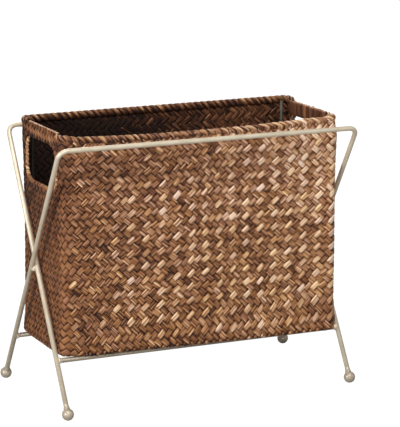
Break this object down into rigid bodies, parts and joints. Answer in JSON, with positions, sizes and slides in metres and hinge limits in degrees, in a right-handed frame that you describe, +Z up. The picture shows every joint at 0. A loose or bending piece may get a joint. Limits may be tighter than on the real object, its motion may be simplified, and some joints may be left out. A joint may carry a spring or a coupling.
{
  "type": "magazine basket",
  "caption": "Narrow woven basket with a hand opening in each end, standing between the crossed legs of a rod stand on ball feet, and lifting straight out of it.",
  "frame": {"origin": "on the floor under the middle of the stand", "axes": "+X along the long side to the right, +Y to the rear, +Z up; the front faces -Y"},
  "size_m": [0.424, 0.221, 0.3531],
  "materials": {
    "seagrass": "flat twill of dried seagrass strip, brown with tan and red-brown strips, slight sheen",
    "pale_seagrass": "plaited and wound seagrass strip, paler than the walls",
    "frame_wire": "bare drawn steel wire, dulled",
    "cream_paint": "champagne cream coat with a soft gloss"
  },
  "bodies": {
    "stand": {"front_bar_frame": "cream_paint", "rear_bar_frame": "cream_paint", "front_stretcher": "cream_paint", "rear_stretcher": "cream_paint", "front_left_ball_foot": "cream_paint", "front_right_ball_foot": "cream_paint", "rear_left_ball_foot": "cream_paint", "rear_right_ball_foot": "cream_paint", "left_crossing_weld": "cream_paint", "right_crossing_weld": "cream_paint"},
    "basket": {"woven_walls": "seagrass", "woven_base": "seagrass", "left_handle_wrap": "seagrass", "right_handle_wrap": "seagrass", "front_rim_braid": "pale_seagrass", "rear_rim_braid": "pale_seagrass", "left_edge_binding": "pale_seagrass", "right_edge_binding": "pale_seagrass", "rim_wire": "frame_wire", "base_wire": "frame_wire", "base_cross_wire_1": "frame_wire", "base_cross_wire_2": "frame_wire", "front_left_upright": "frame_wire", "front_right_upright": "frame_wire", "rear_left_upright": "frame_wire", "rear_right_upright": "frame_wire", "left_opening_wire": "frame_wire", "right_opening_wire": "frame_wire"}
  },
  "joints": [
    {"name": "basket_lift", "type": "slide", "parent": "stand", "child": "basket", "axis": [0, 0, 1], "range_m": [0, 0.285]}
  ]
}
